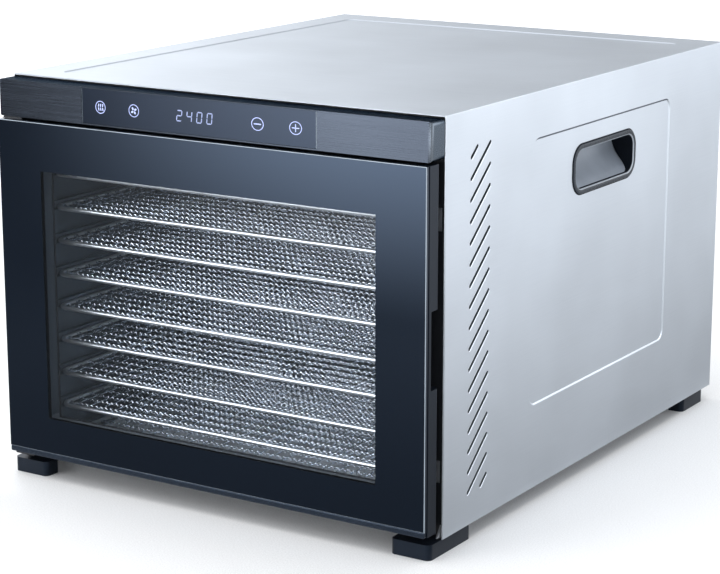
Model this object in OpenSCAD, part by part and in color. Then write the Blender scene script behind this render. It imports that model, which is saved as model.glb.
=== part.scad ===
/* [Cabinet] */
// Width of the steel shell
shell_w = 380; // [360:1:420]
// Depth of the steel shell
shell_d = 463; // [440:1:500]
// Height of the top of the shell above the table
shell_top = 312; // [305:1:312]
// Sheet thickness of the shell
sheet = 1; // [0.8:0.1:1.2]
// Depth of the fields pressed into the top and sides
field_depth = 0.8; // [0.5:0.1:0.9]

/* [Feet] */
// Height of a foot
foot_h = 11.4; // [10:0.1:12]
// Width of a foot's front arm
foot_arm_w = 32.3; // [28:0.1:40]
// Length of a front foot along the side
foot_len = 57.8; // [50:0.1:70]
// Thickness of a foot's arms
foot_t = 13; // [11:0.5:15]

/* [Drying chamber] */
// Clear width between the liner walls
chamber_w = 330; // [320:1:332]
// Height of the chamber floor
chamber_floor_z = 20.6; // [20:0.1:21]
// Height of the chamber ceiling
chamber_top_z = 272.6; // [268:0.1:274]
// Depth of the chamber behind the front frame
chamber_d = 395; // [390:1:400]

/* [Trays] */
// Number of mesh trays
tray_count = 9; // [9:1:9]
// Distance from one tray to the next
tray_pitch = 26.2; // [25:0.1:26.2]
// Height of the lowest tray's rim
tray_first_z = 26.4; // [26:0.1:27]
// Diameter of a tray's rim rod
rim_d = 3.2; // [2.5:0.1:3.6]
// Thickness of a mesh wire
wire_t = 1.2; // [1:0.1:1.5]
// Distance between the wires that run front to back
wire_pitch = 12.3; // [10:0.1:15]

/* [Door] */
// Distance from the shell's front edge to the door's front face
door_out = 22; // [20:0.5:24]
// Width of the door
door_w = 377.4; // [360:0.1:378]
// Height of the door's lower edge
door_low_z = 18.2; // [17:0.1:19]
// Height of the door's upper edge
door_high_z = 280.3; // [279:0.1:281]
// Thickness of the front glass
glass_t = 3.4; // [3:0.1:4]
// Gap between the closed door and the shell's front edge
door_gap = 4.8; // [4:0.1:5]
// Width of the clear window
window_w = 296; // [280:1:300]
// Height of the window's lower edge
window_low_z = 50.4; // [48:0.1:55]
// Height of the window's upper edge
window_high_z = 243.8; // [238:0.1:246]
// Radius of the hinge pins
hinge_pin_r = 2.5; // [2:0.1:2.8]

/* [Control panel] */
// Height of the panel's lower edge
panel_low_z = 282.5; // [282:0.1:284]
// Height of the panel's upper edge
panel_high_z = 310.3; // [308:0.1:311]
// Distance from the shell's front edge to the panel's front face
panel_out = 18.4; // [16:0.1:20]
// Width of the display glass
display_w = 207.4; // [180:0.1:220]

/* [Handles] */
// Length of a hand pocket's opening
pocket_len = 101; // [90:1:110]
// Height of a hand pocket's opening
pocket_h = 31.8; // [28:0.1:34]
// Width of the raised ring round a pocket
pocket_lip = 4; // [3:0.5:5]

/* [Vents] */
// Number of long slots in each side
vent_count = 16; // [12:1:17]
// Width of a vent slot
vent_w = 1.8; // [1.2:0.1:2.4]
// Distance from one vent slot to the next
vent_pitch = 15.16; // [14:0.01:16]

/* [Fan] */
// Outer radius of the impeller
fan_r = 60; // [50:1:64]
// Number of impeller blades
fan_blades = 8; // [6:1:10]
// Radius of the fan shaft
shaft_r = 3; // [2.5:0.1:3.5]
// Height of the fan's centre
fan_z = 144; // [130:1:150]

/* [Hidden] */
$fn = 48;
running = 0.05;
clear = 0.3;
through = 1;
cabinet_y = (door_out - shell_d) / 2;
half_w = shell_w / 2;
half_door = door_w / 2;
half_chamber = chamber_w / 2;
inner_top = shell_top - sheet;

frame_y = 2;
frame_t = 3;
liner_y = frame_y + frame_t;
baffle_y = liner_y + chamber_d;
back_y = shell_d - 5;
back_t = 1.2;
flange_w = 12;
bottom_flange = 10;
base_z = foot_h + sheet;

door_y = -door_out;
glass_back_y = door_y + glass_t;
mask_t = 0.2;
door_back_y = -door_gap;
hinge_x = -180;
hinge_y = -13;
bush_r = 4.4;
bush_len = 14;
notch_z = [123.5, 179.6];
notch_y = -15.3;
notch_in = 18;
notch_chamfer = 4.6;
seal_w = 2;
seal_back_y = frame_y - clear;
retainer_t = 1.2;

tray_half = half_chamber - 1.8;
tray_front_y = 8;
tray_back_y = baffle_y - 10;
tray_corner_r = 10;
rim_r = rim_d / 2;
ledge_w = 6;
ledge_t = 2;
guide_w = 4;
pan_half = half_chamber - ledge_w - 1.5;
pan_z = chamber_floor_z + 0.4;
pan_t = 0.8;
pan_lip = 2.8;

display_x = -5.6;
display_z = [283.6, 309.7];
key_x = [-91.6, -60.8, 48.4, 80.5];
key_z = 296.5;
digits_x = -6.4;

pocket_y = 244.2;
pocket_z = 243.5;
pocket_r = 11;
pocket_depth = 19;
pocket_wall = 1.5;
pocket_proud = 1.2;
scoop_r = 27;
scoop_x = 197;
scoop_z = 256.5;

vent_y = [34.5, 62.7];
vent_first_z = 262.3;
vent_angle = 40.3;

motor_plate_y = baffle_y + 31;
stator_y = motor_plate_y + 7;
stator_d = 12;
fan_y = baffle_y + 7;
heater_r = 74;
heater_leg_x = 10;
gland_x = 150;
gland_z = 46;
gland_bore_r = 3.8;

foot_x = half_w - 0.7;
foot_front_y = -16.1;
foot_r = 4;
rear_foot_y = 450;
rear_foot_len = 42;
foot_screw_x = half_w - sheet - 6;
foot_screw_y = [12, 32];
foot_hole_r = 2.2;
foot_counterbore = [4.2, 5];

board_z = chamber_top_z + 9;

function tray_z(i) = tray_first_z + tray_pitch * i;

// ---- Helpers. The cabinet's own Y starts at the shell's front edge. ----

module at_cabinet() {
    translate([0, cabinet_y, 0]) children();
}

module block(x, y, z) {
    translate([x[0], y[0], z[0]]) cube([x[1] - x[0], y[1] - y[0], z[1] - z[0]]);
}

// A flat shape stood up in the XZ plane, from y to y + t
module upright(y, t) {
    translate([0, y + t, 0]) rotate([90, 0, 0]) linear_extrude(t) children();
}

// A flat shape stood up in the YZ plane, from x to x + t
module sideways(x, t) {
    translate([x, 0, 0]) rotate([90, 0, 90]) linear_extrude(t) children();
}

module rod_y(x, y, z, r) {
    translate([x, y[0], z]) rotate([-90, 0, 0]) cylinder(r = r, h = y[1] - y[0]);
}

module both_sides() {
    children();
    mirror([1, 0, 0]) children();
}

// A rounded rectangle centred on the origin
module round_rect(w, h, r) {
    square([w - 2 * r, h], center = true);
    square([w, h - 2 * r], center = true);
    for (sx = [-1, 1], sy = [-1, 1]) {
        translate([sx * (w / 2 - r), sy * (h / 2 - r)]) circle(r);
    }
}

module rect(x, z) {
    translate([x[0], z[0]]) square([x[1] - x[0], z[1] - z[0]]);
}

// ---- Shell ----

top_field = [21.9, 433.3];
top_field_w = 328;
side_field_y = [125.7, 360.8];
side_field_z = [76, 278];
field_r = 9;
field_lap = 1.5;

// Outline of a pressed field, grown by a margin
module field_outline(across, up, grow) {
    translate([(across[0] + across[1]) / 2, (up[0] + up[1]) / 2])
        round_rect(across[1] - across[0] + 2 * grow, up[1] - up[0] + 2 * grow, field_r + grow);
}

module shell_top() {
    across = [-top_field_w / 2, top_field_w / 2];
    color("gainsboro") at_cabinet() {
        translate([0, 0, inner_top]) linear_extrude(sheet) difference() {
            rect([-half_w, half_w], [0, shell_d]);
            field_outline(across, top_field, 0);
        }
        translate([0, 0, inner_top - field_depth]) linear_extrude(sheet) field_outline(across, top_field, 0);
        translate([0, 0, inner_top - field_depth]) linear_extrude(field_depth)
            field_outline(across, top_field, field_lap);
    }
}

// One vent slot with round ends, in the plane of the side
module vent_slot(y, z, y_end) {
    r = vent_w / 2;
    run = (y_end - y) / cos(vent_angle) - vent_w;
    translate([y, z]) rotate(vent_angle) translate([r, 0]) {
        translate([0, -r]) square([run, vent_w]);
        circle(r);
        translate([run, 0]) circle(r);
    }
}

module vent_slots() {
    rise = (vent_y[1] - vent_y[0]) * tan(vent_angle);
    for (i = [0 : vent_count - 1]) {
        vent_slot(vent_y[0], vent_first_z - vent_pitch * i, vent_y[1]);
    }
    vent_slot(vent_y[0], vent_first_z + vent_pitch, vent_y[0] + 10);
    vent_slot(vent_y[1] - 10, vent_first_z - vent_pitch * vent_count + rise * 0.65, vent_y[1]);
}

module shell_side() {
    difference() {
        union() {
            sideways(half_w - sheet, sheet) difference() {
                rect([0, shell_d], [foot_h, inner_top]);
                vent_slots();
                field_outline(side_field_y, side_field_z, 0);
            }
            sideways(half_w - sheet - field_depth, sheet) field_outline(side_field_y, side_field_z, 0);
            sideways(half_w - sheet - field_depth, field_depth)
                field_outline(side_field_y, side_field_z, field_lap);
        }
        sideways(half_w - 5, 10) translate([pocket_y, pocket_z])
            round_rect(pocket_len + 2, pocket_h + 2, pocket_r + 1);
    }
    difference() {
        block([half_w - sheet - bottom_flange, half_w - sheet], [frame_y, shell_d - 14], [foot_h, base_z]);
        foot_screw_holes(foot_hole_r);
    }
    difference() {
        block([half_w - flange_w, half_w - sheet], [back_y - sheet, back_y], [foot_h + 4, inner_top - 4]);
        back_screw_places() rod_y(0, [back_y - 5, back_y + 5], 0, back_hole_r);
    }
}

module shell_side_right() {
    color("silver") at_cabinet() shell_side();
}

module shell_side_left() {
    color("silver") at_cabinet() mirror([1, 0, 0]) shell_side();
}

back_screw_z = [30, 160, 290];
back_hole_r = 2.1;
gland_hole_r = 6;

module back_screw_places() {
    for (z = back_screw_z) {
        translate([half_w - flange_w / 2 - 1, 0, z]) children();
    }
}

// Round air inlet of short slots in rings, behind the fan
module air_inlet() {
    for (ring = [0 : 3], i = [0 : 5 + 3 * ring]) {
        rotate(i * 360 / (6 + 3 * ring)) translate([16 + 13 * ring, 0]) square([8, 4], center = true);
    }
}

module back_panel() {
    color("silver") at_cabinet() difference() {
        block([-half_w + 1.3, half_w - 1.3], [back_y, back_y + back_t], [base_z + 1.2, inner_top - 0.3]);
        upright(back_y - 2, 6) translate([0, fan_z]) air_inlet();
        both_sides() back_screw_places() rod_y(0, [back_y - 5, back_y + 5], 0, back_hole_r);
        rod_y(gland_x, [back_y - 5, back_y + 5], gland_z, gland_hole_r);
    }
}

module back_screws() {
    color("dimgray") at_cabinet() both_sides() back_screw_places() {
        rod_y(0, [back_y - 4, back_y + back_t + 0.1], 0, back_hole_r - 0.2);
        rod_y(0, [back_y + back_t, back_y + back_t + 1.8], 0, 3.6);
    }
}

module base_plate() {
    color("darkgray") at_cabinet() difference() {
        block([-half_w + 1.3, half_w - 1.3], [liner_y + 0.2, back_y - sheet], [base_z, base_z + sheet]);
        both_sides() foot_screw_holes(foot_hole_r);
        for (x = [-60 : 20 : 60]) {
            block([x - 5, x + 5], [408, 446], [base_z - through, base_z + sheet + through]);
        }
    }
}

module front_frame() {
    frame_low_z = base_z + 0.4;
    frame_cut = [frame_y - through, liner_y + through];
    color("black") at_cabinet() difference() {
        block([-half_w + 1.5, half_w - 1.5], [frame_y, liner_y], [frame_low_z, inner_top - 0.5]);
        block([-half_chamber, half_chamber], frame_cut, [chamber_floor_z, chamber_top_z]);
        block([-20, 20], frame_cut, [288, 304]);
        both_sides() panel_screw_places() rod_y(0, frame_cut, 0, 2);
        magnet_blocks(frame_cut, 0.4);
    }
}

// Small steel gusset at each lower front corner of the frame
module corner_gussets() {
    gusset_t = 1.2;
    color("gray") at_cabinet() both_sides() sideways(half_w - sheet - 0.9 - gusset_t, gusset_t)
        polygon([[frame_y, base_z + 0.6], [frame_y, base_z + 9], [-4.3, base_z + 0.6]]);
}

// ---- Drying chamber ----

module liner_wall() {
    rail_y = [liner_y + 1, baffle_y - 2];
    block([half_chamber, half_chamber + 1], [liner_y, baffle_y], [chamber_floor_z - 1, chamber_top_z + 1]);
    for (i = [0 : tray_count - 1]) {
        low = tray_z(i) - rim_r - clear;
        high = tray_z(i) + rim_r + 0.9;
        block([half_chamber - ledge_w, half_chamber + 0.5], rail_y, [low - ledge_t, low]);
        block([half_chamber - guide_w, half_chamber + 0.5], rail_y, [high, high + ledge_t]);
    }
}

module liner_right() {
    color("lightgray") at_cabinet() liner_wall();
}

module liner_left() {
    color("lightgray") at_cabinet() mirror([1, 0, 0]) liner_wall();
}

module liner_top() {
    color("lightgray") at_cabinet()
        block([-half_chamber, half_chamber], [liner_y, baffle_y], [chamber_top_z, chamber_top_z + 1]);
}

module liner_floor() {
    color("lightgray") at_cabinet()
        block([-half_chamber, half_chamber], [liner_y, baffle_y], [chamber_floor_z - 1, chamber_floor_z]);
}

module rear_baffle() {
    color("lightgray") at_cabinet() difference() {
        block([-half_chamber - 1, half_chamber + 1], [baffle_y, baffle_y + 1],
            [chamber_floor_z - 1, chamber_top_z + 1]);
        for (ring = [1 : 5], i = [0 : 6 * ring - 1]) {
            turn = i * 60 / ring;
            rod_y(11 * ring * cos(turn), [baffle_y - 1, baffle_y + 2], fan_z + 11 * ring * sin(turn), 3.2);
        }
        both_sides() for (z = [40 : 14 : 252]) {
            block([100, 150], [baffle_y - 1, baffle_y + 2], [z, z + 4]);
        }
    }
}

// ---- Trays ----

// Straight stretch and corner of the rim rod, used four times round the tray
module rim_rod() {
    x = tray_half - rim_r;
    front = tray_front_y;
    back = tray_back_y;
    r = tray_corner_r;
    for (y = [front, back]) {
        translate([-x + r, y, 0]) rotate([0, 90, 0]) cylinder(r = rim_r, h = 2 * (x - r));
    }
    for (sx = [-1, 1]) {
        rod_y(sx * x, [front + r, back - r], 0, rim_r);
    }
    corner_places(x, front, back, r) rotate_extrude(angle = 90) translate([r, 0]) circle(rim_r);
}

module corner_places(x, front, back, r) {
    translate([x - r, back - r, 0]) children();
    translate([-x + r, back - r, 0]) rotate(90) children();
    translate([-x + r, front + r, 0]) rotate(180) children();
    translate([x - r, front + r, 0]) rotate(270) children();
}

module mesh_tray(i) {
    half_count = floor((tray_half - 8) / wire_pitch - 0.5);
    cross_pitch = (tray_back_y - tray_front_y) / 5;
    color("white") at_cabinet() translate([0, 0, tray_z(i)]) {
        rim_rod();
        for (k = [-half_count - 1 : half_count]) {
            x = (k + 0.5) * wire_pitch;
            block([x - wire_t / 2, x + wire_t / 2], [tray_front_y, tray_back_y], [-wire_t / 2, wire_t / 2]);
        }
        for (k = [1 : 4]) {
            y = tray_front_y + cross_pitch * k;
            block([-tray_half + rim_r, tray_half - rim_r], [y - wire_t / 2, y + wire_t / 2], [-1, 0.2]);
        }
    }
}

module tray_1() { mesh_tray(0); }
module tray_2() { mesh_tray(1); }
module tray_3() { mesh_tray(2); }
module tray_4() { mesh_tray(3); }
module tray_5() { mesh_tray(4); }
module tray_6() { mesh_tray(5); }
module tray_7() { mesh_tray(6); }
module tray_8() { mesh_tray(7); }
module tray_9() { mesh_tray(8); }

module drip_tray() {
    lip_z = pan_z + pan_lip;
    color("silver") at_cabinet() difference() {
        block([-pan_half, pan_half], [tray_front_y - 1, tray_back_y], [pan_z, lip_z]);
        block([-pan_half + pan_t, pan_half - pan_t], [tray_front_y - 1 + pan_t, tray_back_y - pan_t],
            [pan_z + pan_t, lip_z + 1]);
    }
}

// ---- Feet ----

module foot_outline(arm, len, t) {
    difference() {
        translate([foot_x - arm / 2, len / 2]) round_rect(arm, len, foot_r);
        rect([foot_x - arm - through, foot_x - t], [t, len + through]);
    }
}

// Axes of the two screws in each foot on one side
module foot_screw_places() {
    for (y = foot_screw_y) {
        translate([foot_screw_x, y, 0]) children();
        translate([foot_screw_x, rear_foot_y - y, 0]) children();
    }
}

module foot_screw_holes(r) {
    foot_screw_places() translate([0, 0, -1]) cylinder(r = r, h = foot_h + 8);
}

module foot_bores() {
    foot_screw_holes(foot_hole_r);
    foot_screw_places() translate([0, 0, -1]) cylinder(r = foot_counterbore[0], h = foot_counterbore[1] + 1);
}

module front_foot() {
    difference() {
        translate([0, foot_front_y, 0]) linear_extrude(foot_h) foot_outline(foot_arm_w, foot_len, foot_t);
        foot_bores();
    }
}

module rear_foot() {
    difference() {
        translate([0, rear_foot_y, 0]) mirror([0, 1, 0]) linear_extrude(foot_h)
            foot_outline(foot_arm_w, rear_foot_len, foot_t);
        foot_bores();
    }
}

module foot_front_right() {
    color("darkslategray") at_cabinet() front_foot();
}

module foot_front_left() {
    color("darkslategray") at_cabinet() mirror([1, 0, 0]) front_foot();
}

module foot_rear_right() {
    color("darkslategray") at_cabinet() rear_foot();
}

module foot_rear_left() {
    color("darkslategray") at_cabinet() mirror([1, 0, 0]) rear_foot();
}

module foot_screws() {
    head_r = foot_counterbore[0] - 0.4;
    head_z = [foot_counterbore[1] - 2.8, foot_counterbore[1]];
    color("gray") at_cabinet() both_sides() foot_screw_places() {
        translate([0, 0, head_z[0]]) cylinder(r = head_r, h = head_z[1] - head_z[0]);
        translate([0, 0, head_z[1] - 0.1]) cylinder(r = foot_hole_r - 0.3, h = foot_h - 1.5);
    }
}

// ---- Hand pockets ----

// Cup with a raised lip and a curved scoop that gets deeper towards its top
module pocket_cup() {
    lip_r = pocket_r + pocket_lip;
    seat_x = half_w - field_depth;
    mouth_x = seat_x + pocket_proud;
    floor_x = mouth_x - pocket_depth;
    low_z = pocket_z - pocket_h / 2;
    difference() {
        union() {
            sideways(seat_x, pocket_proud) translate([pocket_y, pocket_z])
                round_rect(pocket_len + 2 * pocket_lip, pocket_h + 2 * pocket_lip, lip_r);
            sideways(floor_x - pocket_wall, seat_x + 0.1 - floor_x + pocket_wall)
                translate([pocket_y, pocket_z]) round_rect(pocket_len + 1.4, pocket_h + 1.4, pocket_r + 0.7);
        }
        sideways(floor_x, pocket_depth + 1) translate([pocket_y, pocket_z])
            round_rect(pocket_len - 1.6, pocket_h - 1.6, pocket_r - 0.8);
    }
    intersection() {
        sideways(floor_x - 0.1, pocket_depth - 2) translate([pocket_y, pocket_z])
            round_rect(pocket_len - 1.2, pocket_h - 1.2, pocket_r - 0.6);
        difference() {
            block([floor_x - 1, mouth_x], [pocket_y - 60, pocket_y + 60], [low_z, scoop_z - 3]);
            translate([scoop_x, pocket_y - 61, scoop_z]) rotate([-90, 0, 0]) cylinder(r = scoop_r, h = 122);
        }
    }
}

module handle_pocket_right() {
    color("dimgray") at_cabinet() pocket_cup();
}

module handle_pocket_left() {
    color("dimgray") at_cabinet() mirror([1, 0, 0]) pocket_cup();
}

// ---- Control panel ----

panel_front_y = -panel_out;
panel_back_y = -1.2;
panel_r = 3;
panel_wall = 2.5;
panel_skin = 4;
boss_y = panel_front_y + 7.5;
boss_r = 4.5;
panel_hole_r = 1.6;
panel_screw_x = [40, 150];
panel_screw_z = 296;
display_seat = 1.5;
display_lap = 5;
board_y = panel_front_y + 6.2;
board_t = 1.2;
board_half = 96;
behind_glass = [panel_front_y + display_seat + 0.1, board_y];

module panel_screw_places() {
    for (x = panel_screw_x) {
        translate([x, 0, panel_screw_z]) children();
    }
}

// Solid block of the housing, round at its upright edges and at its corners seen from the front
module panel_body() {
    high = panel_high_z - panel_low_z;
    width = 2 * (half_w - 0.2);
    intersection() {
        translate([0, 0, panel_low_z]) linear_extrude(high) difference() {
            translate([0, (panel_front_y + 20) / 2]) round_rect(width, 20 - panel_front_y, panel_r);
            rect([-half_w, half_w], [panel_back_y, 30]);
        }
        upright(panel_front_y - through, 30) translate([0, panel_low_z + high / 2])
            round_rect(width, high, panel_r);
    }
}

module panel_rib(x, t, y) {
    block([x - t / 2, x + t / 2], y, [panel_low_z + 1, panel_high_z - 1]);
}

module panel_housing() {
    seat_x = [display_x - display_w / 2, display_x + display_w / 2];
    color("black") at_cabinet() {
        difference() {
            panel_body();
            block([-half_w + panel_wall, half_w - panel_wall], [panel_front_y + panel_skin, panel_back_y + 1],
                [panel_low_z + panel_wall, panel_high_z - panel_wall]);
            block(seat_x, [panel_front_y - through, panel_front_y + display_seat],
                [display_z[0] - 0.2, display_z[1] + 0.2]);
            block([seat_x[0] + display_lap, seat_x[1] - display_lap], [panel_front_y, panel_front_y + 6],
                [panel_low_z + 4.5, panel_high_z - 4.5]);
        }
        difference() {
            both_sides() panel_screw_places() rod_y(0, [boss_y, frame_y], 0, boss_r);
            both_sides() panel_screw_places() rod_y(0, [boss_y - 0.5, frame_y + 1], 0, panel_hole_r);
        }
        both_sides() for (x = [106, 130]) {
            panel_rib(x, 1.5, [panel_front_y + panel_skin - 0.1, panel_back_y]);
        }
        both_sides() panel_rib(panel_screw_x[0], 2, [boss_y - 0.1, boss_y + 1.1]);
        both_sides() panel_rib(panel_screw_x[1], 2, [panel_front_y + panel_skin - 0.1, boss_y + 0.5]);
    }
}

module panel_screws() {
    tip_y = boss_y + 1.6;
    color("gray") at_cabinet() both_sides() panel_screw_places() {
        rod_y(0, [tip_y, liner_y + 0.1], 0, panel_hole_r - 0.1);
        rod_y(0, [liner_y, liner_y + 1.8], 0, 2 * panel_hole_r);
    }
}

module display_glass() {
    color("midnightblue") at_cabinet()
        block([display_x - display_w / 2 + 0.2, display_x + display_w / 2 - 0.2],
            [panel_front_y + 0.2, panel_front_y + display_seat], display_z);
}

module display_board() {
    color("darkgreen") at_cabinet() difference() {
        block([display_x - board_half, display_x + board_half], [board_y, board_y + board_t], [287.5, 305.5]);
        both_sides() translate([panel_screw_x[0], 0, panel_screw_z])
            rod_y(0, [board_y - 1, board_y + 2], 0, boss_r + 0.5);
    }
}

module display_digits() {
    color("black") at_cabinet() block([digits_x - 21, digits_x + 21], behind_glass, [289.5, 303.5]);
}

module touch_keys() {
    color("gray") at_cabinet() for (x = key_x) {
        rod_y(x, behind_glass, key_z, 4.8);
    }
}

// ---- Electrics above the chamber ----

power_board_t = 1.6;
standoff_hole_r = 1.6;

module standoff_places() {
    for (x = [-64, 64], y = [66, 164]) {
        translate([x, y, 0]) children();
    }
}

module power_board() {
    foot_z = chamber_top_z + 1;
    color("darkgreen") at_cabinet() {
        difference() {
            block([-70, 70], [60, 170], [board_z, board_z + power_board_t]);
            standoff_places() translate([0, 0, board_z - 1]) cylinder(r = standoff_hole_r, h = 4);
        }
        standoff_places() translate([0, 0, foot_z]) difference() {
            cylinder(r = 3.5, h = board_z - foot_z);
            translate([0, 0, 1]) cylinder(r = standoff_hole_r, h = 20);
        }
    }
}

module power_parts() {
    top = board_z + power_board_t;
    color("saddlebrown") at_cabinet() {
        block([-58, -26], [78, 106], [top, top + 20]);
        block([-16, 3], [74, 90], [top, top + 15]);
        block([10, 29], [74, 90], [top, top + 15]);
        block([-50, 50], [146, 158], [top, top + 9]);
        for (x = [40, 54]) {
            translate([x, 96, top]) cylinder(r = 5, h = 18);
        }
        translate([-40, 124, top]) cylinder(r = 8, h = 8);
    }
}

module wire_loom() {
    r = 2.5;
    rear_y = back_y - 8;
    side_x = half_chamber + 12;
    high_z = chamber_top_z + 6;
    front_y = 180;
    color("dimgray") at_cabinet() {
        translate([gland_x, rear_y, gland_z]) sphere(r);
        rod_y(gland_x, [rear_y, back_y - 4.2], gland_z, r);
        translate([gland_x, rear_y, gland_z]) rotate([0, 90, 0]) cylinder(r = r, h = side_x - gland_x);
        translate([side_x, rear_y, gland_z]) sphere(r);
        translate([side_x, rear_y, gland_z]) cylinder(r = r, h = high_z - gland_z);
        translate([side_x, rear_y, high_z]) sphere(r);
        rod_y(side_x, [front_y, rear_y], high_z, r);
        translate([side_x, front_y, high_z]) sphere(r);
        translate([70, front_y, high_z]) rotate([0, 90, 0]) cylinder(r = r, h = side_x - 70);
    }
}

// Bush that the mains lead passes through, low on the back
module cord_gland() {
    color("black") at_cabinet() difference() {
        union() {
            rod_y(gland_x, [back_y - 4, back_y + back_t + 0.1], gland_z, gland_hole_r - 0.1);
            rod_y(gland_x, [back_y + back_t, shell_d - 0.3], gland_z, 9);
        }
        rod_y(gland_x, [back_y - 5, shell_d + 1], gland_z, gland_bore_r);
    }
}

// ---- Fan, motor and heater behind the chamber ----

motor_plate_t = 1.2;
standoff_x = 100;
standoff_z = [64, 224];

// Plate behind the fan, on four pillars, with three tabs that hold the heater ring
module motor_plate() {
    color("silver") at_cabinet() {
        difference() {
            block([-112, 112], [motor_plate_y, motor_plate_y + motor_plate_t],
                [standoff_z[0] - 12, standoff_z[1] + 12]);
            rod_y(0, [motor_plate_y - 1, motor_plate_y + 3], fan_z, 9);
            for (x = [-heater_leg_x, heater_leg_x]) {
                rod_y(x, [motor_plate_y - 1, motor_plate_y + 3], fan_z + heater_r - 1, 4);
            }
        }
        both_sides() for (z = standoff_z) {
            rod_y(standoff_x, [baffle_y + 1, motor_plate_y + 0.1], z, 4);
        }
        for (turn = [0, 90, 180]) {
            translate([0, 0, fan_z]) rotate([0, turn, 0])
                block([heater_r + 3.5, heater_r + 5], [fan_y + 4, motor_plate_y + 0.1], [-5, 5]);
        }
    }
}

// Laminated stack with the rotor bore above and the coil window below
module motor_stator() {
    color("slategray") at_cabinet() difference() {
        upright(stator_y, stator_d) translate([0, fan_z - 14]) difference() {
            square([52, 62], center = true);
            translate([0, -13]) square([30, 16], center = true);
        }
        rod_y(0, [stator_y - 1, stator_y + stator_d + 1], fan_z, 12.5);
    }
}

module motor_coil() {
    color("chocolate") at_cabinet() translate([0, stator_y + stator_d / 2, fan_z - 40])
        rotate([0, 90, 0]) difference() {
            translate([0, 0, -13]) linear_extrude(26) round_rect(19, 22, 4);
            translate([0, 0, -14]) linear_extrude(28) square([10.4, 12.4], center = true);
        }
}

module bearing(y) {
    difference() {
        rod_y(0, [y, y + 5], fan_z, 7);
        rod_y(0, [y - 1, y + 6], fan_z, shaft_r + running);
    }
}

// Two bridges with plain bearings, each held on the motor plate or the stack
module motor_bearings() {
    front = motor_plate_y + motor_plate_t;
    back = stator_y + stator_d;
    color("goldenrod") at_cabinet() {
        bearing(front);
        bearing(back + 1);
        difference() {
            block([-24, 24], [front, front + 1.5], [fan_z - 5, fan_z + 5]);
            rod_y(0, [front - 1, front + 3], fan_z, 6.5);
        }
        both_sides() block([22, 24], [front, stator_y], [fan_z - 5, fan_z + 5]);
        difference() {
            block([-24, 24], [back + 1, back + 2.5], [fan_z - 5, fan_z + 5]);
            rod_y(0, [back, back + 4], fan_z, 6.5);
        }
        both_sides() block([20, 24], [back, back + 1.1], [fan_z - 5, fan_z + 5]);
    }
}

module fan_shaft() {
    color("lightsteelblue") at_cabinet() rod_y(0, [fan_y - 3, stator_y + stator_d + 5], fan_z, shaft_r);
}

module motor_rotor() {
    rotor_r = 12;
    color("gray") at_cabinet() difference() {
        rod_y(0, [stator_y + 0.5, stator_y + stator_d - 0.5], fan_z, rotor_r);
        rod_y(0, [stator_y, stator_y + stator_d], fan_z, shaft_r);
    }
}

module fan_impeller() {
    back = fan_y + 19;
    fan_sheet = 1.2;
    hub_r = 9;
    blade_from = 24;
    color("lightgray") at_cabinet() difference() {
        union() {
            rod_y(0, [back, back + fan_sheet], fan_z, fan_r);
            rod_y(0, [fan_y, back + 0.1], fan_z, hub_r);
            for (i = [0 : fan_blades - 1]) {
                translate([0, 0, fan_z]) rotate([0, i * 360 / fan_blades, 0])
                    block([blade_from, fan_r - 2], [fan_y + 2, back + 0.1], [-fan_sheet / 2, fan_sheet / 2]);
            }
        }
        rod_y(0, [fan_y - 1, back + 2], fan_z, shaft_r);
    }
}

// Sheathed element in a ring round the impeller, with two thinner legs to the rear
module heater_ring() {
    ring_y = fan_y + 9;
    leg_z = fan_z + sqrt(heater_r * heater_r - heater_leg_x * heater_leg_x);
    color("rosybrown") at_cabinet() {
        translate([0, ring_y, fan_z]) rotate([90, 0, 0])
            rotate_extrude() translate([heater_r, 0]) circle(3.2);
        both_sides() rod_y(heater_leg_x, [ring_y, motor_plate_y + 12], leg_z, 2.4);
    }
}

module thermal_cutout() {
    seat_y = motor_plate_y + motor_plate_t;
    color("ivory") at_cabinet() {
        rod_y(80, [seat_y, seat_y + 7.8], fan_z - 60, 7);
        block([68, 92], [seat_y, seat_y + 1], [fan_z - 64, fan_z - 56]);
    }
}

// ---- Door ----

magnet_x = [174, 186];
magnet_z = [60, 240];
magnet_half = 8;
magnet_t = 4;
pin_len = 13;

// Blocks at the two magnets' places, grown by a margin
module magnet_blocks(y, grow) {
    for (z = magnet_z) {
        block([magnet_x[0] - grow, magnet_x[1] + grow], y, [z - magnet_half - grow, z + magnet_half + grow]);
    }
}

module hinge_plate(z) {
    difference() {
        block([hinge_x - 6, hinge_x + 12], [hinge_y - 5, frame_y], z);
        block([hinge_x - 20, hinge_x - 2], [hinge_y - 20, hinge_y - 12], z);
    }
}

module hinge_bracket_top() {
    low = door_high_z + 0.4;
    color("gray") at_cabinet() {
        hinge_plate([low, low + 1.5]);
        translate([hinge_x, hinge_y, low + 0.6 - pin_len]) cylinder(r = hinge_pin_r, h = pin_len);
    }
}

module hinge_bracket_bottom() {
    high = door_low_z - 0.5;
    color("gray") at_cabinet() {
        hinge_plate([high - 2, high]);
        translate([hinge_x, hinge_y, high - 1]) cylinder(r = hinge_pin_r, h = pin_len);
    }
}

module strike_plates() {
    color("darkgray") at_cabinet() magnet_blocks([frame_y + 0.5, liner_y - 0.5], 0);
}

module hinge_bores(r) {
    translate([hinge_x, hinge_y, door_low_z - 1]) cylinder(r = r, h = bush_len + 1);
    translate([hinge_x, hinge_y, door_high_z - bush_len]) cylinder(r = r, h = bush_len + 1);
}

module door_outline() {
    r = 3;
    difference() {
        translate([0, (glass_back_y + mask_t + door_back_y) / 2 - 5])
            round_rect(door_w, door_back_y - glass_back_y - mask_t + 10, r);
        rect([-half_door - 1, half_door + 1], [glass_back_y - 20, glass_back_y + mask_t]);
    }
}

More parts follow.
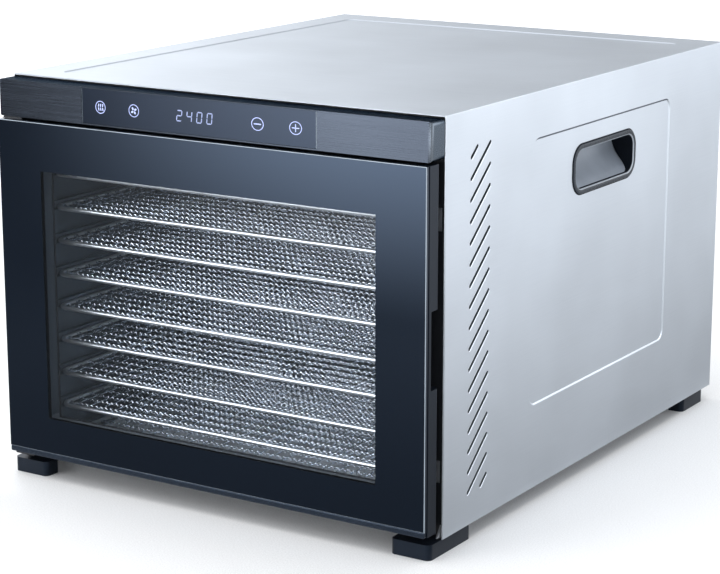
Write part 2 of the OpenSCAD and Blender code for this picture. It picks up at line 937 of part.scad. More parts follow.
// Recess in the door's free edge that the fingers hook into
module finger_notch() {
    low = notch_z[0];
    high = notch_z[1];
    upright(notch_y, 20) polygon([
        [half_door - notch_in, low], [half_door + 1, low], [half_door + 1, high],
        [half_door - notch_in + notch_chamfer, high], [half_door - notch_in, high - notch_chamfer]]);
}

module door_frame() {
    color("black") at_cabinet() difference() {
        translate([0, 0, door_low_z]) linear_extrude(door_high_z - door_low_z) door_outline();
        block([-window_w / 2 - 4, window_w / 2 + 4], [door_y, 0], [window_low_z - 4, window_high_z + 4]);
        finger_notch();
        hinge_bores(bush_r);
        magnet_blocks([door_back_y - magnet_t - 0.1, 0], 0.1);
    }
}

strip_h = 4.1;
glass_low_z = door_low_z + strip_h + 0.2;

module door_glass() {
    color("black") at_cabinet()
        block([-half_door + 0.5, half_door - 0.5], [door_y, glass_back_y], [glass_low_z, door_high_z]);
}

// Black print on the back of the glass, with the window left clear
module glass_mask() {
    color("black") at_cabinet() difference() {
        block([-half_door + 0.7, half_door - 0.7], [glass_back_y, glass_back_y + mask_t],
            [glass_low_z, door_high_z - 0.2]);
        block([-window_w / 2, window_w / 2], [glass_back_y - 1, glass_back_y + 1],
            [window_low_z, window_high_z]);
    }
}

module door_bottom_strip() {
    color("gray") at_cabinet()
        block([-half_door + 0.9, half_door - 0.9], [door_y + 0.2, glass_back_y + mask_t],
            [door_low_z, door_low_z + strip_h]);
}

module door_seal() {
    out_z = [door_low_z + 0.2, chamber_top_z + 3.4];
    x = half_chamber + 5;
    color("darkgray") at_cabinet() difference() {
        block([-x, x], [door_back_y, seal_back_y], out_z);
        block([-x + seal_w, x - seal_w], [door_back_y - 1, seal_back_y + 1],
            [out_z[0] + seal_w, out_z[1] - seal_w]);
    }
}

module door_retainer() {
    x = half_chamber + 2.5;
    color("dimgray") at_cabinet() difference() {
        block([-x, x], [door_back_y, door_back_y + retainer_t], [door_low_z + 2.6, chamber_top_z + 1]);
        block([-window_w / 2 - 3, window_w / 2 + 3], [door_back_y - 1, 0],
            [window_low_z - 3, window_high_z + 3]);
    }
}

module hinge_bushes() {
    color("ivory") at_cabinet() for (z = [door_low_z, door_high_z - bush_len]) {
        translate([hinge_x, hinge_y, z]) difference() {
            cylinder(r = bush_r, h = bush_len);
            translate([0, 0, -1]) cylinder(r = hinge_pin_r + running, h = bush_len + 2);
        }
    }
}

module door_magnets() {
    color("gray") at_cabinet() magnet_blocks([door_back_y - magnet_t, door_back_y], 0);
}

shell_top();
shell_side_left();
shell_side_right();
back_panel();
base_plate();
front_frame();
liner_left();
liner_right();
liner_top();
liner_floor();
rear_baffle();
corner_gussets();
foot_front_left();
foot_front_right();
foot_rear_left();
foot_rear_right();
foot_screws();
back_screws();
handle_pocket_left();
handle_pocket_right();
panel_housing();
display_glass();
display_board();
display_digits();
touch_keys();
panel_screws();
power_board();
power_parts();
wire_loom();
cord_gland();
motor_plate();
motor_stator();
motor_coil();
motor_bearings();
heater_ring();
thermal_cutout();
fan_shaft();
fan_impeller();
motor_rotor();
hinge_bracket_top();
hinge_bracket_bottom();
strike_plates();
door_frame();
door_glass();
glass_mask();
door_bottom_strip();
door_seal();
door_retainer();
hinge_bushes();
door_magnets();
tray_1();
tray_2();
tray_3();
tray_4();
tray_5();
tray_6();
tray_7();
tray_8();
tray_9();
drip_tray();
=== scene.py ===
import math

import bmesh
import bpy
from mathutils import Matrix, Vector


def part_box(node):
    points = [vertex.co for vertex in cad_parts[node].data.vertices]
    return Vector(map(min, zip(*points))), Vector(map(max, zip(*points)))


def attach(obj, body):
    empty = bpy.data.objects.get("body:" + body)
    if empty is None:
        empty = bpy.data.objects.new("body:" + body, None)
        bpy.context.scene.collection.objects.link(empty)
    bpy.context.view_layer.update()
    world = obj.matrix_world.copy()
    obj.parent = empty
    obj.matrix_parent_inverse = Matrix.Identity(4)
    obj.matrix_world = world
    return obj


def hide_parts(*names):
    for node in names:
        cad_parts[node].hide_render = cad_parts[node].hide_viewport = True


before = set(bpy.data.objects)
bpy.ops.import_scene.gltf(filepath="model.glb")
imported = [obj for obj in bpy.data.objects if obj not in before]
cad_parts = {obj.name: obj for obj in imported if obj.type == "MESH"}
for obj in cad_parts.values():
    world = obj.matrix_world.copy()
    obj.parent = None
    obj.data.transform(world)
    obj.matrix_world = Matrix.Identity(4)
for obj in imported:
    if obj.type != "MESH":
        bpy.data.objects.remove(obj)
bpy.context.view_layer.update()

MM = 0.001
TAU = 2 * math.pi


# ---------------------------------------------------------------- places from the frame

class Box:
    """A CAD node's box at rest, in metres."""

    def __init__(self, node):
        low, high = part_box(node)
        self.low, self.high = low, high
        self.x, self.y, self.z = ((low[i], high[i]) for i in range(3))
        self.mid = (low + high) / 2
        self.size = high - low


shell_top = Box("shell_top")
shell_side = Box("shell_side_right")
panel = Box("panel_housing")
display = Box("display_glass")
digits = Box("display_digits")
keys = Box("touch_keys")
pocket = Box("handle_pocket_right")
door_frame = Box("door_frame")
door_glass = Box("door_glass")

# The clear window of the door glass, and the door frame's opening round it
WINDOW_X = (-148 * MM, 148 * MM)
WINDOW_Z = (50.4 * MM, 243.8 * MM)
OPENING_MARGIN = 4 * MM
OPENING_HALF_W = WINDOW_X[1] + OPENING_MARGIN
OPENING_HALF_H = (WINDOW_Z[1] - WINDOW_Z[0]) / 2 + OPENING_MARGIN
OPENING_MID_Z = (WINDOW_Z[0] + WINDOW_Z[1]) / 2

FRONT_Y = shell_side.y[0]
HALF_W = shell_side.x[1]
SHELL_TOP = shell_top.z[1]
SHELL_LOW = shell_side.z[0]
BACK_Y = shell_side.y[1]
SHEET = 0.95 * MM


# ---------------------------------------------------------------- materials

NOISE_SPAN = (0.3, 0.7)
COARSE, FINE = 2.0, 3.0
# The colour sockets of a Mix node
MIX_A, MIX_B, MIX_RESULT = 6, 7, 2


def new_material(name, color, rough, metal=0.0, **sockets):
    """A Principled material; uniform numbers go straight on the shader's own sockets."""
    material = bpy.data.materials.new(name)
    material.use_nodes = True
    shader = material.node_tree.nodes["Principled BSDF"]
    shader.inputs["Base Color"].default_value = (*color, 1)
    shader.inputs["Roughness"].default_value = rough
    shader.inputs["Metallic"].default_value = metal
    for socket, value in sockets.items():
        shader.inputs[socket.replace("_", " ")].default_value = value
    return material


def add_noise(material, scale, stretch=(1, 1, 1), detail=FINE):
    """A noise texture in the object's own coordinates, stretched along an axis. scale is per metre."""
    nodes, links = material.node_tree.nodes, material.node_tree.links
    coords = nodes.new("ShaderNodeTexCoord")
    mapping = nodes.new("ShaderNodeMapping")
    mapping.inputs["Scale"].default_value = stretch
    noise = nodes.new("ShaderNodeTexNoise")
    noise.inputs["Scale"].default_value = scale
    noise.inputs["Detail"].default_value = detail
    links.new(coords.outputs["Object"], mapping.inputs["Vector"])
    links.new(mapping.outputs["Vector"], noise.inputs["Vector"])
    return noise


def vary_color(material, noise, dark, light):
    nodes, links = material.node_tree.nodes, material.node_tree.links
    ramp = nodes.new("ShaderNodeValToRGB")
    for stop, place, color in zip(ramp.color_ramp.elements, NOISE_SPAN, (dark, light)):
        stop.position = place
        stop.color = (*color, 1)
    links.new(noise.outputs["Fac"], ramp.inputs["Fac"])
    links.new(ramp.outputs["Color"], nodes["Principled BSDF"].inputs["Base Color"])


def vary_rough(material, noise, low, high):
    nodes, links = material.node_tree.nodes, material.node_tree.links
    span = nodes.new("ShaderNodeMapRange")
    span.inputs["From Min"].default_value, span.inputs["From Max"].default_value = NOISE_SPAN
    span.inputs["To Min"].default_value = low
    span.inputs["To Max"].default_value = high
    links.new(noise.outputs["Fac"], span.inputs["Value"])
    links.new(span.outputs["Result"], nodes["Principled BSDF"].inputs["Roughness"])


def add_bump(material, noise, height):
    nodes, links = material.node_tree.nodes, material.node_tree.links
    bump = nodes.new("ShaderNodeBump")
    bump.inputs["Distance"].default_value = height
    bump.inputs["Strength"].default_value = 1.0
    links.new(noise.outputs["Fac"], bump.inputs["Height"])
    links.new(bump.outputs["Normal"], nodes["Principled BSDF"].inputs["Normal"])


def shade(color, factor):
    return tuple(min(c * factor, 1.0) for c in color)


def brushed(name, color, rough, stretch, spread=0.06, bump=0.002, metal=0.9):
    """Satin metal with fine lines along the axis that stretch leaves long."""
    material = new_material(name, color, rough, metal)
    lines = add_noise(material, 1400, stretch, COARSE)
    cloud = add_noise(material, 9, detail=COARSE)
    vary_color(material, cloud, shade(color, 1 - spread), shade(color, 1 + spread))
    vary_rough(material, lines, rough - 0.05, rough + 0.05)
    add_bump(material, lines, bump * MM)
    return material


def moulded(name, color, rough, grain=0.02, scale=1500, shine=0.4, tint=(1, 1, 1)):
    """Plastic or rubber with a fine grain."""
    material = new_material(name, color, rough, Specular_IOR_Level=shine, Specular_Tint=(*tint, 1))
    fine = add_noise(material, scale, detail=COARSE)
    cloud = add_noise(material, 25)
    vary_color(material, cloud, shade(color, 0.85), shade(color, 1.15))
    vary_rough(material, fine, rough - 0.06, rough + 0.06)
    add_bump(material, fine, grain * MM)
    return material


def math_node(nodes, links, operation, *values):
    """A Math node's output. Each value is a number or another node's output."""
    node = nodes.new("ShaderNodeMath")
    node.operation = operation
    for socket, value in zip(node.inputs, values):
        if isinstance(value, bpy.types.NodeSocket):
            links.new(value, socket)
        else:
            socket.default_value = value
    return node.outputs["Value"]


def split_axes(nodes, links, output):
    """The object's own X, Y and Z: of places if output is Object, of directions if it is Normal."""
    coords = nodes.new("ShaderNodeTexCoord")
    split = nodes.new("ShaderNodeSeparateXYZ")
    links.new(coords.outputs[output], split.inputs["Vector"])
    return split.outputs


def overlay_color(material, factor, color):
    """Lays a colour over the shader's base colour where factor is 1."""
    nodes, links = material.node_tree.nodes, material.node_tree.links
    base = nodes["Principled BSDF"].inputs["Base Color"]
    mix = nodes.new("ShaderNodeMix")
    mix.data_type = "RGBA"
    links.new(factor, mix.inputs["Factor"])
    links.new(base.links[0].from_socket, mix.inputs[MIX_A])
    mix.inputs[MIX_B].default_value = (*color, 1)
    links.new(mix.outputs[MIX_RESULT], base)


STEEL = (0.62, 0.66, 0.71)
NAVY = (0.54, 0.71, 1.0)
LONG_X, LONG_Y, LONG_Z = (0.012, 1, 1), (1, 0.012, 1), (1, 1, 0.012)

steel_top = brushed("steel_top", STEEL, 0.42, LONG_X)
steel_side = brushed("steel_side", STEEL, 0.44, LONG_Y)
# painted shade: a darker copy of the steel for the pressed field's top slope, which faces down
painted_shade_steel = brushed("painted_shade_steel", (0.17, 0.19, 0.22), 0.5, LONG_Y)
liner_steel = brushed("liner_steel", (0.10, 0.125, 0.155), 0.42, LONG_Y, metal=0.7)
# painted light: the drip pan made near-white, standing for light that barely reaches it deep in the chamber
pan_steel = brushed("pan_steel", (0.84, 0.88, 0.93), 0.5, LONG_X, metal=0.0)
zinc_steel = brushed("zinc_steel", (0.50, 0.52, 0.55), 0.4, LONG_Z)
fan_metal = brushed("fan_metal", (0.62, 0.63, 0.65), 0.35, LONG_Y)
lamination = brushed("lamination", (0.18, 0.18, 0.20), 0.5, LONG_X, bump=0.05)
heat_steel = brushed("heat_steel", (0.25, 0.20, 0.18), 0.4, LONG_Y)
copper = brushed("copper_winding", (0.60, 0.26, 0.10), 0.35, LONG_X, bump=0.05)
bronze = brushed("bearing_bronze", (0.60, 0.42, 0.18), 0.4, LONG_Y)

# painted highlight: lighter plastic for the panel's bevelled edges
panel_painted_highlight = moulded("panel_painted_highlight", (0.15, 0.18, 0.21), 0.3, grain=0.004, shine=0.5)
# painted highlight: a lighter colour for the display glass's bevelled edge
display_painted_highlight = moulded("display_painted_highlight", (0.26, 0.31, 0.36), 0.3, grain=0.004, shine=0.5)
strip_plastic = moulded("strip_plastic", (0.014, 0.019, 0.028), 0.25, tint=NAVY)
black_enamel = moulded("black_enamel", (0.008, 0.009, 0.012), 0.5)
foot_rubber = moulded("foot_rubber", (0.005, 0.007, 0.011), 0.40, grain=0.03, shine=0.25, tint=NAVY)
pocket_plastic = moulded("pocket_plastic", (0.030, 0.037, 0.048), 0.3, shine=0.22)
# painted highlight: a light band along the inner edge of the pocket's lip
pocket_painted_highlight = moulded("pocket_painted_highlight", (0.36, 0.40, 0.45), 0.2, grain=0.004, shine=1.0)
# painted light: the scoop is the lip's plastic made lighter, as lit from the front
pocket_scoop_painted_light = moulded("pocket_scoop_painted_light", (0.30, 0.34, 0.40), 0.38, grain=0.06, scale=900)
# painted shade: near-black for the groove round the pocket's lip and its deep wall
pocket_painted_shade = moulded("pocket_painted_shade", (0.004, 0.006, 0.010), 0.6, shine=0.1)
seal_rubber = moulded("seal_rubber", (0.12, 0.12, 0.13), 0.6)
module_plastic = moulded("module_plastic", (0.06, 0.06, 0.07), 0.5)
nylon = moulded("nylon", (0.65, 0.64, 0.60), 0.5)
solder_mask = moulded("solder_mask", (0.01, 0.09, 0.04), 0.3)
# painted shade: near-black for the sheet's cut edges and its hidden inner face, where shade falls
cut_edge_painted_shade = moulded("cut_edge_painted_shade", (0.010, 0.012, 0.015), 0.7, shine=0.1)


def panel_finish():
    """The control panel's dark satin: nearly black at a grazing angle, with painted light making its two
    ends lighter.
    """
    color = (0.054, 0.063, 0.080)
    material = brushed("panel_satin", color, 0.26, LONG_X, spread=0.08, bump=0.0005, metal=1.0)
    nodes, links = material.node_tree.nodes, material.node_tree.links
    nodes["Principled BSDF"].inputs["Specular Tint"].default_value = (0.10, 0.14, 0.18, 1)
    facing = split_axes(nodes, links, "Normal")
    # painted light: faces turned to either side get a lighter colour
    overlay_color(material, math_node(nodes, links, "ABSOLUTE", facing["X"]), (0.145, 0.165, 0.190))
    return material


def frame_plastic():
    """The door frame's black plastic, with painted light: lighter grey on the faces inside the window
    opening and lighter still on the sill below it."""
    material = moulded("frame_plastic", (0.005, 0.007, 0.011), 0.35, shine=0.3, tint=NAVY)
    nodes, links = material.node_tree.nodes, material.node_tree.links
    place = split_axes(nodes, links, "Object")
    reach = 0.3 * MM
    across = math_node(nodes, links, "COMPARE", place["X"], 0.0, OPENING_HALF_W + reach)
    upward = math_node(nodes, links, "COMPARE", place["Z"], OPENING_MID_Z, OPENING_HALF_H + reach)
    inside = math_node(nodes, links, "MULTIPLY", across, upward)
    low = math_node(nodes, links, "LESS_THAN", place["Z"], WINDOW_Z[0])
    # painted light: the opening's inner faces lighter grey, the sill below the window lighter still
    overlay_color(material, inside, (0.040, 0.050, 0.064))
    overlay_color(material, math_node(nodes, links, "MULTIPLY", inside, low), (0.12, 0.14, 0.165))
    return material


def polished_wire():
    color = (0.70, 0.76, 0.84)
    material = new_material("tray_wire", color, 0.2, 1.0)
    grime = add_noise(material, 300)
    vary_color(material, grime, shade(color, 0.85), shade(color, 1.1))
    vary_rough(material, grime, 0.10, 0.20)
    return material


def glossy(name, color, rough, scale, shades, rough_span, **sockets):
    """Glass: soft clouds change its colour from shades[0] to shades[1] times color,
    and its roughness over rough_span. Either may be None."""
    material = new_material(name, color, rough, **sockets)
    cloud = add_noise(material, scale, detail=COARSE)
    if shades:
        vary_color(material, cloud, shade(color, shades[0]), shade(color, shades[1]))
    if rough_span:
        vary_rough(material, cloud, *rough_span)
    return material


def glowing(name, color, strength):
    material = new_material(name, color, 0.5, Emission_Strength=strength)
    material.node_tree.nodes["Principled BSDF"].inputs["Emission Color"].default_value = (*color, 1)
    speckle = add_noise(material, 900, detail=1.0)
    vary_color(material, speckle, shade(color, 0.85), color)
    return material


tray_wire = polished_wire()
rim_steel = brushed("rim_steel", (0.72, 0.77, 0.82), 0.34, LONG_X, bump=0.03)
window_glass = glossy("clear_glass", (0.05, 0.06, 0.07), 0.03, 12, None, (0.02, 0.08),
                      Alpha=0.12, Specular_IOR_Level=0.7)
printed_glass = glossy("black_glass", (0.002, 0.004, 0.008), 0.06, 4, (0.85, 1.15), (0.05, 0.10),
                       Specular_IOR_Level=0.76, Specular_Tint=(*NAVY, 1))
# painted highlight: a pale colour on the glass's chamfered edge
chamfer_painted_highlight = glossy("glass_chamfer_highlight", (0.42, 0.49, 0.56), 0.2, 40, (0.8, 1.1), None, Specular_IOR_Level=0.9)
display_gloss = glossy("display_black", (0.003, 0.006, 0.014), 0.08, 20, (0.8, 1.2), (0.06, 0.12),
                       Specular_IOR_Level=0.52, Specular_Tint=(0.6, 0.74, 1.0, 1))
key_glow = glowing("key_glow", (0.46, 0.52, 0.86), 0.46)
digit_glow = glowing("digit_glow", (0.31, 0.36, 0.58), 0.33)
frame_black = frame_plastic()
panel_satin = panel_finish()


# ---------------------------------------------------------------- mesh helpers

WELD_GAP = 0.002 * MM
SHARP_ANGLE = math.radians(40)


def add_piece(name, mesh, body, materials, replaced=()):
    for material in materials:
        mesh.materials.append(material)
    piece = bpy.data.objects.new(name, mesh)
    bpy.context.scene.collection.objects.link(piece)
    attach(piece, body)
    if replaced:
        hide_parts(*replaced)
    return piece


def mesh_from(bm, name):
    mesh = bpy.data.meshes.new(name)
    bm.to_mesh(mesh)
    bm.free()
    return mesh


def rounded_rect(cx, cy, w, h, r, steps=8):
    """Points round a rectangle with round corners, counterclockwise."""
    points = []
    for k, (sx, sy) in enumerate([(1, 1), (-1, 1), (-1, -1), (1, -1)]):
        ox, oy = cx + sx * (w / 2 - r), cy + sy * (h / 2 - r)
        for i in range(steps + 1):
            turn = (k + i / steps) * TAU / 4
            points.append((ox + r * math.cos(turn), oy + r * math.sin(turn)))
    return points


def add_ring(bm, points):
    return [bm.verts.new(p) for p in points]


def ring_edges(bm, ring):
    edges = []
    for a, b in zip(ring, ring[1:] + ring[:1]):
        edges.append(bm.edges.get((a, b)) or bm.edges.new((a, b)))
    return edges


def fill_rings(bm, rings, material=0):
    """Fills the flat region that the rings bound, holes left open."""
    edges = [e for ring in rings for e in ring_edges(bm, ring)]
    made = bmesh.ops.triangle_fill(bm, use_beauty=True, use_dissolve=False, edges=edges)
    for part in made["geom"]:
        if isinstance(part, bmesh.types.BMFace):
            part.material_index = material


def join_rings(bm, ring_a, ring_b, smooth=True, material=0, closed=True):
    """Quads between two rings with the same number of points, or between two open rows."""
    made = []
    count = len(ring_a)
    for i in range(count if closed else count - 1):
        j = (i + 1) % count
        face = bm.faces.new((ring_a[i], ring_a[j], ring_b[j], ring_b[i]))
        face.smooth = smooth
        face.material_index = material
        made.append(face)
    return made


def bevel_node(node, width, segments=2, edge=None):
    """Rounds the hard edges of a CAD node's shown mesh, in a painted highlight of their own if edge is
    given;
    the node itself stays as it is."""
    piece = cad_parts[node]
    weld = piece.modifiers.new("weld", "WELD")
    weld.merge_threshold = WELD_GAP
    bevel = piece.modifiers.new("bevel", "BEVEL")
    bevel.width = width
    bevel.segments = segments
    bevel.limit_method = "ANGLE"
    bevel.angle_limit = SHARP_ANGLE
    if edge:
        piece.data.materials.append(edge)
        bevel.material = 1


def paint(material, *node_names):
    for name in node_names:
        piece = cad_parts[name]
        piece.data.materials.clear()
        piece.data.materials.append(material)


# ---------------------------------------------------------------- steel shell

TOP_ROUND = 0.4 * MM
HEM = 0.9 * MM
FIELD_DEPTH = 0.8 * MM
FIELD_SLOPE = 1.5 * MM
FIELD_R = 9 * MM
SIDE_FIELD_Y = (125.7 * MM, 360.8 * MM)
SIDE_FIELD_Z = (76 * MM, 278 * MM)
TOP_FIELD_Y = (21.9 * MM, 433.3 * MM)
TOP_FIELD_W = 328 * MM
VENT_ANGLE = math.radians(40.3)
VENT_Y = (34.5 * MM, 62.7 * MM)
VENT_FIRST_Z = 262.3 * MM
VENT_PITCH = 15.16 * MM
VENT_COUNT = 16
VENT_R = 1.35 * MM
VENT_LIP = 0.7 * MM
VENT_DEPTH = 0.25 * MM
VENT_EDGE = 0.12 * MM
VENT_SINK = 0.08 * MM
VENT_LEAN = 0.7
VENT_STEPS = 9
SHORT_VENT = 10 * MM
LAST_VENT_LIFT = 0.65
POCKET_HOLE_LAP = 1.5 * MM
POCKET_HOLE_R = 13.5 * MM
RING_STEPS = 6
CORNER_STEPS = 5
HEM_STEPS = 4
# Places in the shell's list of finishes, after the top's
SIDE_FINISH, CUT_EDGE_SHADE_FINISH, PAINTED_SHADE_FINISH = 1, 2, 3


def field_rings(place, cx, cy, w, h):
    """Rings down the sloped edge of a pressed field, the first at the sheet's surface."""
    rings = []
    for i in range(RING_STEPS + 1):
        t = i / RING_STEPS
        inset = FIELD_SLOPE * t
        depth = FIELD_DEPTH * (3 * t * t - 2 * t ** 3)
        outline = rounded_rect(cx, cy, w - 2 * inset, h - 2 * inset, FIELD_R - inset)
        rings.append([place(a, b, -depth) for a, b in outline])
    return rings


def vent_rings(place, y, z, y_end):
    """Two rings round a slot: the lower one has its rear side pressed in, which leaves a sloping lip."""
    run = (y_end - y) / math.cos(VENT_ANGLE) - 2 * VENT_R
    along = Vector((math.cos(VENT_ANGLE), math.sin(VENT_ANGLE)))
    down = Vector((along.y, -along.x))
    start = Vector((y, z)) + along * VENT_R
    outer, inner = [], []
    for end, first in ((0, math.pi / 2), (run, -math.pi / 2)):
        for i in range(VENT_STEPS + 1):
            turn = first + math.pi * i / VENT_STEPS
            normal = along * math.cos(turn) + down * -math.sin(turn)
            point = start + along * end + normal * VENT_R
            lean = max(0.0, normal.dot(down)) ** VENT_LEAN
            edge = point + normal * (VENT_EDGE + VENT_LIP * lean)
            outer.append(place(edge.x, edge.y, 0))
            inner.append(place(point.x, point.y, -VENT_SINK - VENT_DEPTH * lean))
    return outer, inner


def vent_slots():
    """(y, z, y of the far end) of the slots, with a short one above and one below the long ones."""
    rise = (VENT_Y[1] - VENT_Y[0]) * math.tan(VENT_ANGLE)
    slots = [(VENT_Y[0], VENT_FIRST_Z - VENT_PITCH * i, VENT_Y[1]) for i in range(VENT_COUNT)]
    slots.append((VENT_Y[0], VENT_FIRST_Z + VENT_PITCH, VENT_Y[0] + SHORT_VENT))
    lowest = VENT_FIRST_Z - VENT_PITCH * VENT_COUNT + rise * LAST_VENT_LIFT
    slots.append((VENT_Y[1] - SHORT_VENT, lowest, VENT_Y[1]))
    return slots


def add_shell_side(bm, side):
    def place(a, b, out):
        return Vector((side * (HALF_W + out), a + FRONT_Y, b))

    depth, high = BACK_Y - FRONT_Y, SHELL_TOP - TOP_ROUND
    corners = [(HEM, SHELL_LOW), (depth, SHELL_LOW), (depth, high), (HEM, high)]
    flat = [add_ring(bm, [place(a, b, 0) for a, b in corners])]
    for y, z, y_end in vent_slots():
        outer, inner = vent_rings(place, y, z, y_end)
        outer, inner = add_ring(bm, outer), add_ring(bm, inner)
        join_rings(bm, outer, inner, material=SIDE_FINISH)
        flat.append(outer)
    cy, cz = sum(SIDE_FIELD_Y) / 2, sum(SIDE_FIELD_Z) / 2
    w, h = SIDE_FIELD_Y[1] - SIDE_FIELD_Y[0], SIDE_FIELD_Z[1] - SIDE_FIELD_Z[0]
    rings = [add_ring(bm, ring) for ring in field_rings(place, cy, cz, w, h)]
    for a, b in zip(rings, rings[1:]):
        for face in join_rings(bm, a, b, material=SIDE_FINISH):
            # painted shade: the slope along the field's top edge gets the darker steel
            if face.calc_center_median().z > SIDE_FIELD_Z[1] - FIELD_SLOPE:
                face.material_index = PAINTED_SHADE_FINISH
    flat.append(rings[0])
    fill_rings(bm, flat, material=SIDE_FINISH)
    hole_w, hole_h = (size - 2 * POCKET_HOLE_LAP for size in pocket.size.yz)
    hole = rounded_rect(pocket.mid.y - FRONT_Y, pocket.mid.z, hole_w, hole_h, POCKET_HOLE_R)
    hole_ring = add_ring(bm, [place(a, b, -FIELD_DEPTH) for a, b in hole])
    fill_rings(bm, [rings[-1], hole_ring], material=SIDE_FINISH)


def add_shell_corner(bm, side):
    """Rounded edge between the top and a side."""
    rows = []
    for y in (FRONT_Y + HEM, BACK_Y):
        row = []
        for i in range(CORNER_STEPS + 1):
            turn = TAU / 4 * i / CORNER_STEPS
            x = side * (HALF_W - TOP_ROUND + TOP_ROUND * math.cos(turn))
            row.append(bm.verts.new((x, y, SHELL_TOP - TOP_ROUND + TOP_ROUND * math.sin(turn))))
        rows.append(row)
    join_rings(bm, rows[0], rows[1], material=SIDE_FINISH, closed=False)


def add_shell_top(bm):
    def place(a, b, out):
        return Vector((a, b + FRONT_Y, SHELL_TOP + out))

    edge, depth = HALF_W - TOP_ROUND, BACK_Y - FRONT_Y
    corners = [(-edge, HEM), (edge, HEM), (edge, depth), (-edge, depth)]
    sheet = add_ring(bm, [place(a, b, 0) for a, b in corners])
    cy, h = sum(TOP_FIELD_Y) / 2, TOP_FIELD_Y[1] - TOP_FIELD_Y[0]
    rings = [add_ring(bm, ring) for ring in field_rings(place, 0, cy, TOP_FIELD_W, h)]
    for a, b in zip(rings, rings[1:]):
        join_rings(bm, a, b)
    fill_rings(bm, [sheet, rings[0]])
    fill_rings(bm, [rings[-1]])


def add_front_hem(bm):
    """Front edge of the sheet, rolled in round the cabinet's mouth."""
    rows = []
    corner = range(CORNER_STEPS + 1)
    for k in range(HEM_STEPS + 1):
        turn = TAU / 4 * k / HEM_STEPS
        inset, y = HEM * (1 - math.cos(turn)), FRONT_Y + HEM * (1 - math.sin(turn))
        center = max(TOP_ROUND, inset)
        row = [bm.verts.new((HALF_W - inset, y, SHELL_LOW))]
        for side, steps in ((1, corner), (-1, reversed(corner))):
            for i in steps:
                bend = TAU / 4 * i / CORNER_STEPS
                x = side * (HALF_W - center + (center - inset) * math.cos(bend))
                row.append(bm.verts.new((x, y, SHELL_TOP - center + (center - inset) * math.sin(bend))))
        row.append(bm.verts.new((inset - HALF_W, y, SHELL_LOW)))
        rows.append(row)
    for a, b in zip(rows, rows[1:]):
        join_rings(bm, a, b, material=SIDE_FINISH, closed=False)


def build_shell():
    """Top and sides as one bent sheet with pressed fields and lipped vent slots."""
    bm = bmesh.new()
    add_shell_top(bm)
    add_front_hem(bm)
    for side in (1, -1):
        add_shell_side(bm, side)
        add_shell_corner(bm, side)
    bmesh.ops.remove_doubles(bm, verts=bm.verts, dist=0.001 * MM)
    bmesh.ops.recalc_face_normals(bm, faces=bm.faces)
    top = max(bm.faces, key=lambda f: f.calc_center_median().z)
    if top.normal.z < 0:
        bmesh.ops.reverse_faces(bm, faces=bm.faces)
    finishes = [steel_top, steel_side, cut_edge_painted_shade, painted_shade_steel]
    shell = add_piece("steel_shell", mesh_from(bm, "steel_shell"), "cabinet", finishes,
                      ["shell_top", "shell_side_left", "shell_side_right"])
    solid = shell.modifiers.new("sheet", "SOLIDIFY")
    solid.thickness = SHEET
    solid.offset = -1
    # the sheet's inner face and cut edges take the painted shade
    solid.material_offset = CUT_EDGE_SHADE_FINISH
    solid.material_offset_rim = CUT_EDGE_SHADE_FINISH


build_shell()


# ---------------------------------------------------------------- wire trays

WIRE_R = 0.5 * MM
CROSS_R = 0.7 * MM
CROSS_WAVE = 4.85 * MM
CROSS_AMP = 0.9 * MM
CROSS_PITCH = 13.1 * MM
ROD_PITCH = 12.3 * MM
TRAY_CORNER_R = 10 * MM
RIM_CORNER_STEPS = 6
RIM_SIDES, ROD_SIDES, CROSS_SIDES = 14, 8, 5
ROD_START, ROD_DIP, ROD_END = 0.4 * MM, 0.5 * MM, 3 * MM
ROD_MARGIN = 6 * MM
FIRST_CROSS = 8 * MM
CROSS_MARGIN = 12 * MM
WAVE_STEPS = 6


class WireMesh:
    """Collects tubes as plain lists of points and faces."""

    def __init__(self):
        self.points, self.faces = [], []

    def tube(self, path, r, sides, closed=False):
        start, count = len(self.points), len(path)
        for i, point in enumerate(path):
            before = path[i - 1] if i or closed else point
            after = path[(i + 1) % count] if i < count - 1 or closed else point
            ahead = (after - before).normalized()
            side = ahead.cross(Vector((0, 0, 1))).normalized()
            up = side.cross(ahead)
            for k in range(sides):
                turn = TAU * k / sides
                self.points.append(point + side * (r * math.cos(turn)) + up * (r * math.sin(turn)))
        for i in range(count if closed else count - 1):
            a, b = start + i * sides, start + (i + 1) % count * sides
            for k in range(sides):
                n = (k + 1) % sides
                self.faces.append((a + k, a + n, b + n, b + k))
        if not closed:
            self.faces.append(tuple(start + k for k in reversed(range(sides))))
            self.faces.append(tuple(start + (count - 1) * sides + k for k in range(sides)))


